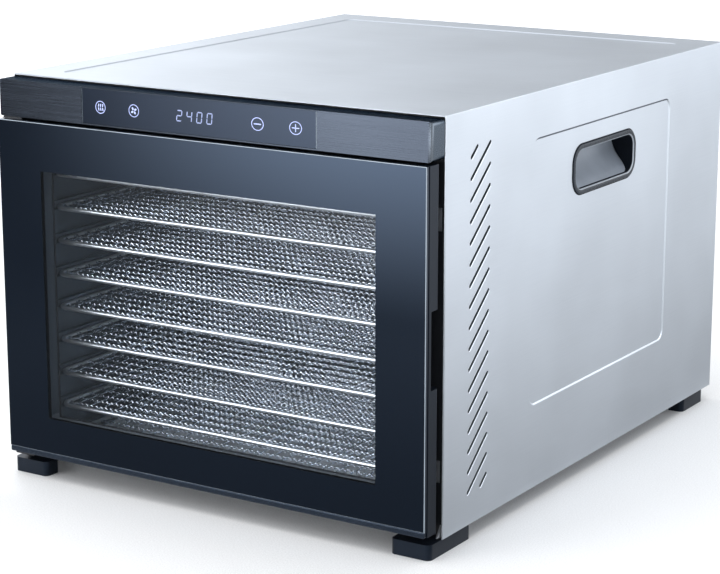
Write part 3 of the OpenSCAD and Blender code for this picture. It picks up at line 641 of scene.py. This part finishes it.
def tray_mesh(tray):
    """One tray about z = 0: a rim rod, straight wires front to back, and crimped wires across them."""
    wires = WireMesh()
    rim_r = tray.size.z / 2
    half_x, cy = tray.size.x / 2 - rim_r, tray.mid.y
    half_y = tray.size.y / 2 - rim_r
    rim = rounded_rect(0, cy, 2 * half_x, 2 * half_y, TRAY_CORNER_R, RIM_CORNER_STEPS)
    wires.tube([Vector((x, y, 0)) for x, y in rim], rim_r, RIM_SIDES, closed=True)
    rim_faces = len(wires.faces)
    rods = int((half_x - ROD_MARGIN) / ROD_PITCH - 0.5)
    low = -CROSS_AMP - CROSS_R * 0.2
    for k in range(-rods - 1, rods + 1):
        x = (k + 0.5) * ROD_PITCH
        front, back = cy - half_y, cy + half_y
        wires.tube([Vector((x, front - ROD_START, low - ROD_DIP)), Vector((x, front + ROD_END, low)),
                    Vector((x, back - ROD_END, low)), Vector((x, back, low))], WIRE_R, ROD_SIDES)
    rows = int((2 * half_y - CROSS_MARGIN) / CROSS_PITCH)
    count = int(2 * half_x / CROSS_WAVE * WAVE_STEPS)
    for row in range(rows + 1):
        y = cy - half_y + FIRST_CROSS + row * CROSS_PITCH
        path = []
        for i in range(count + 1):
            x = -half_x + i * CROSS_WAVE / WAVE_STEPS
            path.append(Vector((x, y, CROSS_AMP * math.cos(TAU * i / WAVE_STEPS))))
        wires.tube(path, CROSS_R, CROSS_SIDES)
    mesh = bpy.data.meshes.new("wire_tray")
    mesh.from_pydata(wires.points, [], wires.faces)
    mesh.polygons.foreach_set("use_smooth", [True] * len(mesh.polygons))
    mesh.update()
    mesh.materials.append(tray_wire)
    mesh.materials.append(rim_steel)
    for face in mesh.polygons[:rim_faces]:
        face.material_index = 1
    return mesh


def build_trays():
    """One mesh, shared by the nine trays."""
    names = sorted(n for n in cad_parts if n.startswith("tray_"))
    mesh = tray_mesh(Box(names[0]))
    for name in names:
        piece = bpy.data.objects.new("wire_" + name, mesh)
        piece.location.z = Box(name).mid.z
        bpy.context.scene.collection.objects.link(piece)
        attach(piece, "body_" + name)
        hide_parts(name)


build_trays()


# ---------------------------------------------------------------- door

GLASS_CHAMFER = 0.45 * MM
CLEAR, PRINTED, CHAMFER_HIGHLIGHT = range(3)


def build_door_glass():
    """Full-front glass: clear in the window, black round it, with a painted highlight on the chamfer at the
    edge.
    """
    bm = bmesh.new()
    (x0, x1), (y0, y1), (z0, z1) = door_glass.x, door_glass.y, door_glass.z
    c = GLASS_CHAMFER

    def corner_ring(xs, zs, y):
        corners = [(xs[0], zs[0]), (xs[1], zs[0]), (xs[1], zs[1]), (xs[0], zs[1])]
        return add_ring(bm, [Vector((a, y, b)) for a, b in corners])

    front = corner_ring((x0 + c, x1 - c), (z0 + c, z1 - c), y0)
    edge, back = (corner_ring((x0, x1), (z0, z1), y) for y in (y0 + c, y1))
    front_window, back_window = (corner_ring(WINDOW_X, WINDOW_Z, y) for y in (y0, y1))
    join_rings(bm, front, front_window, smooth=False, material=PRINTED)
    join_rings(bm, back, back_window, smooth=False, material=PRINTED)
    join_rings(bm, front, edge, smooth=False, material=CHAMFER_HIGHLIGHT)
    join_rings(bm, edge, back, smooth=False, material=PRINTED)
    bm.faces.new(front_window).material_index = CLEAR
    bm.faces.new(back_window).material_index = CLEAR
    bmesh.ops.recalc_face_normals(bm, faces=bm.faces)
    add_piece("door_glass_sheet", mesh_from(bm, "door_glass_sheet"), "door",
              [window_glass, printed_glass, chamfer_painted_highlight], ["door_glass"])


build_door_glass()


# ---------------------------------------------------------------- display and keys

MARK_Y = (display.y[0] - 0.06 * MM, display.y[0] + 0.05 * MM)
KEY_RADIUS = 4.7 * MM
KEY_LINE = 0.52 * MM
KEY_INSET = 4.8 * MM
WIND_KEY, MINUS_KEY = 30.8 * MM, 140.0 * MM
CIRCLE_STEPS = 32
FLAME_PITCH, FLAME_LEAN, FLAME_TIP, FLAME_LINE = 1.9 * MM, 0.5 * MM, 2.7 * MM, 0.9 * MM
BLADES, BLADE_ROOT, BLADE_TIP, BLADE_LINE = 4, 0.5 * MM, 3.0 * MM, 1.5 * MM
BLADE_TURN, BLADE_SWEEP = 0.5, 0.6
SIGN_WIDE = 1.12
SIGN_ARM = 2.9 * MM
MINUS_LINE, PLUS_LINE, PLUS_GAP = 0.8 * MM, 0.7 * MM, 0.36 * MM
NICK = 0.1 * MM
DIGIT_H = 8.3 * MM
DIGIT_W = 5.0 * MM
DIGIT_PITCH = 8.9 * MM
DIGIT_LINE = 0.8 * MM
DIGIT_SLANT = 0.11
DIGIT_GAP = 0.12 * MM
SEGMENTS = {"0": "abcdef", "2": "abged", "4": "fgbc"}


def add_flat(bm, outline, holes=()):
    """A thin plate in the XZ plane at the face of the display."""
    rings = []
    for y in MARK_Y:
        rings.append([add_ring(bm, [Vector((a, y, b)) for a, b in loop]) for loop in (outline, *holes)])
        fill_rings(bm, rings[-1])
    for front, back in zip(*rings):
        join_rings(bm, front, back, smooth=False)


def circle(cx, cz, r, wide):
    turns = [TAU * i / CIRCLE_STEPS for i in range(CIRCLE_STEPS)]
    return [(cx + wide * r * math.cos(turn), cz + r * math.sin(turn)) for turn in turns]


def bar(a, b, width):
    """Outline of a straight bar from a to b with pointed ends, as a segment of a digit has."""
    a, b = Vector(a), Vector(b)
    along = (b - a).normalized()
    across = Vector((-along.y, along.x)) * (width / 2)
    tip = along * (width / 2)
    points = (a, a + tip - across, b - tip - across, b, b - tip + across, a + tip + across)
    return [tuple(p) for p in points]


def finish_marks(bm, name, material):
    bmesh.ops.recalc_face_normals(bm, faces=bm.faces)
    add_piece(name, mesh_from(bm, name), "cabinet", [material])


def build_keys():
    """Four printed touch marks in rings: heat, fan, minus and plus."""
    bm = bmesh.new()
    spread = keys.size.x - 2 * KEY_INSET
    first, z = keys.x[0] + KEY_INSET, keys.mid.z
    places = [first, first + WIND_KEY, first + MINUS_KEY, first + spread]
    for cx, wide in zip(places, (1.0, 1.0, SIGN_WIDE, SIGN_WIDE)):
        add_flat(bm, circle(cx, z, KEY_RADIUS, wide), [circle(cx, z, KEY_RADIUS - KEY_LINE, wide)])
    heat, wind, minus, plus = places
    for i in (-1, 0, 1):
        x = heat + i * FLAME_PITCH
        add_flat(bm, bar((x - NICK, z + NICK), (x + FLAME_LEAN, z + FLAME_TIP), FLAME_LINE))
        add_flat(bm, bar((x + FLAME_LEAN, z - FLAME_TIP), (x - NICK, z - NICK), FLAME_LINE))
    for i in range(BLADES):
        turn = TAU * i / BLADES + BLADE_TURN
        lead = turn + BLADE_SWEEP
        tip = (wind + BLADE_TIP * math.cos(turn), z + BLADE_TIP * math.sin(turn))
        root = (wind + BLADE_ROOT * math.cos(lead), z + BLADE_ROOT * math.sin(lead))
        add_flat(bm, bar(root, tip, BLADE_LINE))
    reach = SIGN_ARM * SIGN_WIDE
    add_flat(bm, bar((minus - reach, z), (minus + reach, z), MINUS_LINE))
    add_flat(bm, bar((plus - reach, z), (plus + reach, z), PLUS_LINE))
    add_flat(bm, bar((plus, z + PLUS_GAP), (plus, z + SIGN_ARM), PLUS_LINE))
    add_flat(bm, bar((plus, z - SIGN_ARM), (plus, z - PLUS_GAP), PLUS_LINE))
    finish_marks(bm, "key_marks", key_glow)


def build_digits():
    """Four seven-segment digits."""
    bm = bmesh.new()
    w, h = (DIGIT_W - DIGIT_LINE) / 2, (DIGIT_H - DIGIT_LINE) / 2
    ends = {"a": ((-w, h), (w, h)), "g": ((-w, 0), (w, 0)), "d": ((-w, -h), (w, -h)),
            "f": ((-w, 0), (-w, h)), "b": ((w, 0), (w, h)),
            "e": ((-w, -h), (-w, 0)), "c": ((w, -h), (w, 0))}
    for i, figure in enumerate("2400"):
        cx, cz = digits.mid.x + (i - 1.5) * DIGIT_PITCH, keys.mid.z
        for name in SEGMENTS[figure]:
            a, b = (Vector(p) for p in ends[name])
            along = (b - a).normalized() * DIGIT_GAP
            outline = bar(a + along, b - along, DIGIT_LINE)
            add_flat(bm, [(cx + x + DIGIT_SLANT * z, cz + z) for x, z in outline])
    finish_marks(bm, "display_figures", digit_glow)


build_keys()
build_digits()


# ---------------------------------------------------------------- hand pockets

POCKET_R = 15 * MM
POCKET_LOW_WALL = 2.0 * MM
POCKET_BACK = 2.2 * MM
SCOOP_ROWS = 24
SCOOP_RISE = 1.25
RIM, SCOOP, POCKET_SHADE, POCKET_HIGHLIGHT = range(4)
# (inset, outward, finish of the band that starts there), in mm from the lip's outer groove to the mouth;
# the outer groove and the mouth's wall carry painted shade
POCKET_PROFILE = [
    (0.0, 0.05, POCKET_SHADE), (0.75, 0.05, POCKET_SHADE), (0.9, 0.7, RIM), (1.3, 1.05, RIM), (2.0, 1.2, RIM),
    # painted highlight: the lighter band at the lip's inner edge
    (3.8, 1.1, RIM), (4.1, 0.95, POCKET_HIGHLIGHT), (4.8, 0.55, POCKET_HIGHLIGHT), (5.0, 0.2, POCKET_SHADE), (5.15, -0.6, POCKET_SHADE),
    (5.25, -2.0, POCKET_SHADE)]


def build_pocket(side, node):
    """Lip ring with rounded edges, and a scoop whose wall curves in and up behind the lip."""
    box = Box(node)
    cy, cz = box.mid.y, box.mid.z
    seat = HALF_W - FIELD_DEPTH
    bm = bmesh.new()

    def place(a, b, out):
        return Vector((side * (seat + out), a, b))

    def inset_outline(inset):
        return rounded_rect(cy, cz, box.size.y - 2 * inset, box.size.z - 2 * inset, POCKET_R - inset)

    rings = [add_ring(bm, [place(a, b, out * MM) for a, b in inset_outline(inset * MM)])
             for inset, out, _ in POCKET_PROFILE]
    for a, b, (_, _, finish) in zip(rings, rings[1:], POCKET_PROFILE):
        join_rings(bm, a, b, material=finish)
    inset = POCKET_PROFILE[-1][0] * MM
    w, h = box.size.y - 2 * inset, box.size.z - 2 * inset
    low, high = cz - h / 2, cz + h / 2
    deepest = box.size.x - POCKET_BACK

    def wall_depth(z):
        """How far in the scoop is at a height: shallow at the lower lip, deepest at the top."""
        t = min(max((z - low) / (high - low), 0.0), 1.0)
        curve = math.sin(min(t * SCOOP_RISE, 1.0) * TAU / 4)
        return POCKET_LOW_WALL + (deepest - POCKET_LOW_WALL) * curve

    inner_ring = add_ring(bm, [place(a, b, -wall_depth(b)) for a, b in inset_outline(inset)])
    # painted shade on the wall that leads down to the scoop
    join_rings(bm, rings[-1], inner_ring, material=POCKET_SHADE)
    rows = []
    corner = POCKET_R - inset
    for k in range(SCOOP_ROWS + 1):
        z = low + (high - low) * k / SCOOP_ROWS
        over = max(low + corner - z, z - (high - corner), 0.0)
        half = w / 2 - corner + math.sqrt(max(corner ** 2 - over ** 2, 0.0))
        rows.append([bm.verts.new(place(cy + half * s, z, -wall_depth(z))) for s in (-1, 1)])
    for a, b in zip(rows, rows[1:]):
        face = bm.faces.new((a[0], a[1], b[1], b[0]))
        face.smooth = True
        # the scoop takes the lighter, painted-light plastic
        face.material_index = SCOOP
    bmesh.ops.recalc_face_normals(bm, faces=bm.faces)
    add_piece("pocket_" + node.rsplit("_", 1)[1], mesh_from(bm, node + "_skin"), "cabinet",
              [pocket_plastic, pocket_scoop_painted_light, pocket_painted_shade, pocket_painted_highlight], [node])


build_pocket(1, "handle_pocket_right")
build_pocket(-1, "handle_pocket_left")


# ---------------------------------------------------------------- CAD nodes that stay, with their finish

FEET = ["foot_front_left", "foot_front_right", "foot_rear_left", "foot_rear_right"]

paint(steel_side, "back_panel")
paint(liner_steel, "liner_left", "liner_right", "liner_top", "liner_floor", "rear_baffle")
# painted light: the drip tray takes the near-white pan colour
paint(pan_steel, "drip_tray")
paint(zinc_steel, "base_plate", "corner_gussets", "foot_screws", "back_screws", "panel_screws",
      "motor_plate", "strike_plates", "door_magnets", "fan_shaft")
paint(black_enamel, "front_frame", "door_retainer", "glass_mask", "hinge_bracket_top",
      "hinge_bracket_bottom")
paint(panel_satin, "panel_housing")
paint(display_gloss, "display_glass")
paint(frame_black, "door_frame")
paint(strip_plastic, "door_bottom_strip")
paint(seal_rubber, "door_seal")
paint(nylon, "hinge_bushes")
paint(foot_rubber, *FEET, "cord_gland", "wire_loom")
paint(module_plastic, "display_digits", "touch_keys", "power_parts", "thermal_cutout")
paint(solder_mask, "display_board", "power_board")
paint(lamination, "motor_stator", "motor_rotor")
paint(copper, "motor_coil")
paint(bronze, "motor_bearings")
paint(heat_steel, "heater_ring")
paint(fan_metal, "fan_impeller")

for foot in FEET:
    bevel_node(foot, 0.8 * MM, segments=3)
# the panel's bevels take a lighter material: a painted highlight line along its edges
bevel_node("panel_housing", 0.8 * MM, segments=3, edge=panel_painted_highlight)
# the display glass's bevel takes a lighter material: a painted highlight line
bevel_node("display_glass", 0.45 * MM, edge=display_painted_highlight)
bevel_node("door_frame", 0.6 * MM, segments=3)
bevel_node("door_bottom_strip", 0.5 * MM)
bevel_node("cord_gland", 0.6 * MM)


# ---------------------------------------------------------------- stage, light and camera

FLOOR_HALF = 14.0
FLOOR_GLOW_FROM, FLOOR_GLOW_TO = 0.5, 2.2
FLOOR_GLOW_NEAR, FLOOR_GLOW_FAR = 0.03, 0.6
FLOOR_LIFT = 0.002
SKY_COLOR = (0.93, 0.96, 1.0)
SKY_STRENGTH = 0.75
WHOLE = (0.0, 0.1)
# The studio cards, in the order of add_card's parameters
CARDS = [
    # seen by the steel top from above, and from behind in place of the bright window card
    ("overhead_card", (-1.8, -1.6, 2.6), (3.0, 0, 0), (0, 3.0, 0), (1.5, 1.5), WHOLE, WHOLE),
    ("top_card", (-1.5, FRONT_Y - 0.03, 0.32), (3.0, 0, 0), (0, 0, 1.6), (0.8, 0.8), WHOLE, WHOLE),
    # gives the tray wires their bright dashes
    ("window_card", (-1.25, -1.1, 0.45), (1.2, -0.75, 0), (0, 0, 1.5), (9.0, 9.0), WHOLE, WHOLE),
    # the dark studio that the door and the panel mirror, lighter towards the right
    ("front_card", (-1.7, -0.78, 0.0), (2.6, 0, 0), (0, 0, 0.3), (0.20, 5.0), (1.02, 1.52), (-0.03, 0.27)),
    ("front_flag", (-1.7, -1.9, 0.3), (2.6, 0, 0), (0, 0, 2.2), (0.15, 0.15), WHOLE, WHOLE),
    ("front_floor_card", (-1.7, -0.78, FLOOR_LIFT), (2.6, 0, 0), (0, 0.5, 0), (0.22, 0.45),
     (1.05, 1.55), (0.5, 0.0)),
    # the light grey that the right side and the top mirror
    ("side_card", (0.9, 2.6, 0.0), (0, -2.8, 0), (0, 0, 1.3), (0.9, 2.6), (0.0, 0.5), (0.0, 0.35)),
    ("side_floor_card", (0.2, 1.3, FLOOR_LIFT), (0, -1.9, 0), (0.7, 0, 0), (0.40, 1.05), WHOLE, (0.0, 0.6)),
    ("back_card", (0.6, 1.0, 0.0), (-2.6, 0, 0), (0, 0, 1.6), (0.55, 1.75), (0.93, 1.9), (0.0, 0.3)),
]
CAMERA_PLACE = (0.9199, FRONT_Y - 1.2580, 0.5471)
CAMERA_DOWN, CAMERA_TURN = math.radians(13.651), math.radians(32.398)
CAMERA_LENS = 109.6


def fade_node(nodes, start, end, low, high):
    fade = nodes.new("ShaderNodeMapRange")
    fade.interpolation_type = "SMOOTHSTEP"
    fade.inputs["From Min"].default_value = start
    fade.inputs["From Max"].default_value = end
    fade.inputs["To Min"].default_value = low
    fade.inputs["To Max"].default_value = high
    return fade


def build_floor():
    """Pale floor, which glows a little far from the object so that it ends in plain white."""
    mesh = bpy.data.meshes.new("studio_floor")
    corners = [(x * FLOOR_HALF, y * FLOOR_HALF, 0) for x, y in ((-1, -1), (1, -1), (1, 1), (-1, 1))]
    mesh.from_pydata(corners, [], [(0, 1, 2, 3)])
    floor = bpy.data.objects.new("studio_floor", mesh)
    bpy.context.scene.collection.objects.link(floor)
    material = glowing("studio_floor", (0.96, 0.96, 0.96), 0.0)
    nodes, links = material.node_tree.nodes, material.node_tree.links
    coords = nodes.new("ShaderNodeTexCoord")
    distance = nodes.new("ShaderNodeVectorMath")
    distance.operation = "LENGTH"
    fade = fade_node(nodes, FLOOR_GLOW_FROM, FLOOR_GLOW_TO, FLOOR_GLOW_NEAR, FLOOR_GLOW_FAR)
    links.new(coords.outputs["Object"], distance.inputs[0])
    links.new(distance.outputs["Value"], fade.inputs["Value"])
    links.new(fade.outputs["Result"], nodes["Principled BSDF"].inputs["Emission Strength"])
    mesh.materials.append(material)


def aim(thing, target):
    thing.rotation_euler = (Vector(target) - thing.location).to_track_quat("-Z", "Y").to_euler()


def add_light(name, place, target, size, power, in_reflections):
    data = bpy.data.lights.new(name, "AREA")
    data.shape = "RECTANGLE"
    data.size, data.size_y = size
    data.energy = power
    light = bpy.data.objects.new(name, data)
    light.location = place
    light.visible_camera = False
    light.visible_glossy = in_reflections
    bpy.context.scene.collection.objects.link(light)
    aim(light, target)


def add_card(name, corner, across, up, levels, u_fade, v_fade):
    """A studio card that shows only in reflections. It glows from levels[0] to levels[1],
    rising over u_fade along its width and over v_fade along its height, in metres from its corner."""
    across, up, corner = Vector(across), Vector(up), Vector(corner)
    turn = Matrix((across.normalized(), up.normalized(), across.cross(up).normalized())).transposed()
    w, h = across.length, up.length
    mesh = bpy.data.meshes.new(name)
    mesh.from_pydata([(0, 0, 0), (w, 0, 0), (w, h, 0), (0, h, 0)], [], [(0, 1, 2, 3)])
    card = bpy.data.objects.new(name, mesh)
    card.matrix_world = Matrix.Translation(corner) @ turn.to_4x4()
    bpy.context.scene.collection.objects.link(card)
    material = bpy.data.materials.new(name)
    material.use_nodes = True
    nodes, links = material.node_tree.nodes, material.node_tree.links
    nodes.clear()
    out = nodes.new("ShaderNodeOutputMaterial")
    glow = nodes.new("ShaderNodeEmission")
    glow.inputs["Color"].default_value = (*SKY_COLOR, 1)
    place = split_axes(nodes, links, "Object")
    u = fade_node(nodes, *u_fade, 0.0, 1.0)
    v = fade_node(nodes, *v_fade, 0.0, 1.0)
    links.new(place["X"], u.inputs["Value"])
    links.new(place["Y"], v.inputs["Value"])
    both = math_node(nodes, links, "MULTIPLY", u.outputs["Result"], v.outputs["Result"])
    level = math_node(nodes, links, "MULTIPLY_ADD", both, levels[1] - levels[0], levels[0])
    links.new(level, glow.inputs["Strength"])
    links.new(glow.outputs["Emission"], out.inputs["Surface"])
    material.cycles.emission_sampling = "NONE"
    mesh.materials.append(material)
    card.visible_camera = False
    card.visible_diffuse = False
    card.visible_shadow = False
    card.visible_transmission = False


def build_studio():
    build_floor()
    add_light("overhead", (-0.3, -0.1, 2.6), (0, 0, 0.1), (3.0, 3.0), 62, in_reflections=False)
    add_light("window_light", (-0.75, -1.6, 1.0), (0, 0.1, 0.14), (0.9, 1.2), 9, in_reflections=True)
    for card in CARDS:
        add_card(*card)
    world = bpy.data.worlds.new("studio")
    world.use_nodes = True
    background = world.node_tree.nodes["Background"]
    background.inputs["Color"].default_value = (*SKY_COLOR, 1)
    background.inputs["Strength"].default_value = SKY_STRENGTH
    bpy.context.scene.world = world
    bpy.context.scene.view_settings.view_transform = "Standard"
    bpy.context.scene.view_settings.look = "None"


def build_camera():
    """Looks down on the front right corner, as the photograph does."""
    data = bpy.data.cameras.new("camera")
    data.sensor_width = 36
    data.lens = CAMERA_LENS
    camera = bpy.data.objects.new("camera", data)
    camera.location = CAMERA_PLACE
    camera.rotation_euler = (math.radians(90) - CAMERA_DOWN, 0, CAMERA_TURN)
    data.clip_start, data.clip_end = 0.05, 60
    bpy.context.scene.collection.objects.link(camera)
    bpy.context.scene.camera = camera


build_studio()
build_camera()
